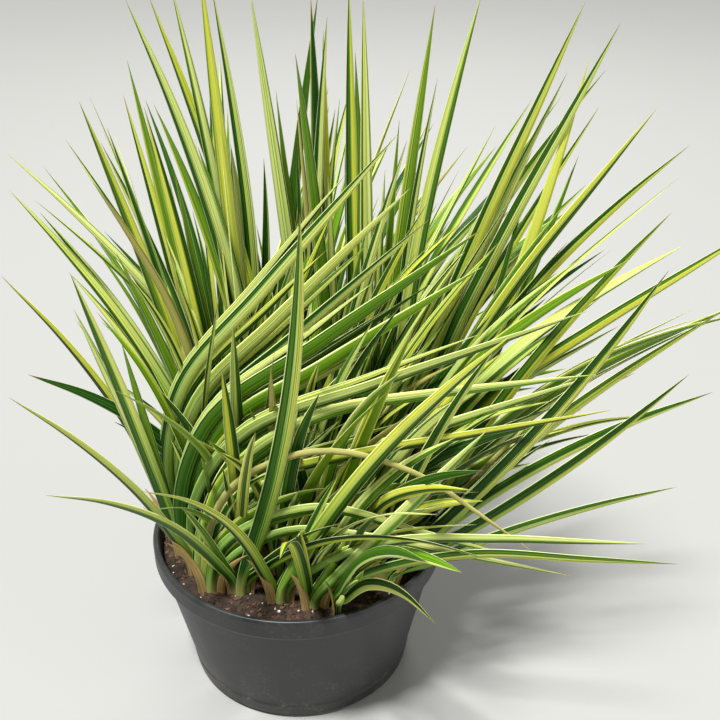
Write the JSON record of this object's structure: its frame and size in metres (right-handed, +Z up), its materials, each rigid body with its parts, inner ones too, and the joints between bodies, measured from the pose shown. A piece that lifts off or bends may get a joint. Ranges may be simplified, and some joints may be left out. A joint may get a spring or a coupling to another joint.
{
  "type": "potted ogon japanese sweet flag",
  "caption": "Golden variegated grass-like pond plant in a plain round pot: fans of narrow striped sword-shaped leaves rise and sweep from short rhizomes set in the mix.",
  "frame": {"origin": "centre of the pot's underside, on the surface it stands on", "axes": "+Z up; +X to the right and -Y to the front, as the plant is seen in the picture, with its long leaves sweeping towards +X"},
  "size_m": [0.4799, 0.4363, 0.4946],
  "materials": {
    "pot_plastic": "satin",
    "mix": "matte",
    "leaf": "satin"
  },
  "bodies": {
    "root": {"pot": "pot_plastic", "potting_mix": "mix", "leaf_fan_01": "leaf", "leaf_fan_02": "leaf", "leaf_fan_03": "leaf", "leaf_fan_04": "leaf", "leaf_fan_05": "leaf", "leaf_fan_06": "leaf", "leaf_fan_08": "leaf", "leaf_fan_09": "leaf", "leaf_fan_10": "leaf", "leaf_fan_11": "leaf", "leaf_fan_13": "leaf", "leaf_fan_14": "leaf", "leaf_fan_16": "leaf", "leaf_fan_18": "leaf", "leaf_fan_19": "leaf", "leaf_fan_20": "leaf", "leaf_fan_21": "leaf", "leaf_fan_22": "leaf", "leaf_fan_23": "leaf", "leaf_fan_24": "leaf", "leaf_fan_25": "leaf", "leaf_fan_26": "leaf", "leaf_fan_27": "leaf", "leaf_fan_32": "leaf", "leaf_fan_33": "leaf", "leaf_fan_35": "leaf", "leaf_fan_36": "leaf", "leaf_fan_38": "leaf", "leaf_fan_41": "leaf", "leaf_fan_44": "leaf", "leaf_fan_45": "leaf", "leaf_fan_46": "leaf", "leaf_fan_back_far_left": "leaf", "leaf_fan_back_left": "leaf", "leaf_fan_back_middle": "leaf", "leaf_fan_back_middle_left": "leaf", "leaf_fan_back_middle_right": "leaf", "leaf_fan_back_right": "leaf", "leaf_fan_front": "leaf", "leaf_fan_front_far_right": "leaf", "leaf_fan_front_left": "leaf", "leaf_fan_front_low": "leaf", "leaf_fan_front_middle": "leaf", "leaf_fan_front_right": "leaf", "leaf_fan_front_upright": "leaf", "leaf_fan_left": "leaf", "leaf_fan_left_front": "leaf", "leaf_fan_right": "leaf"}
  },
  "joints": []
}
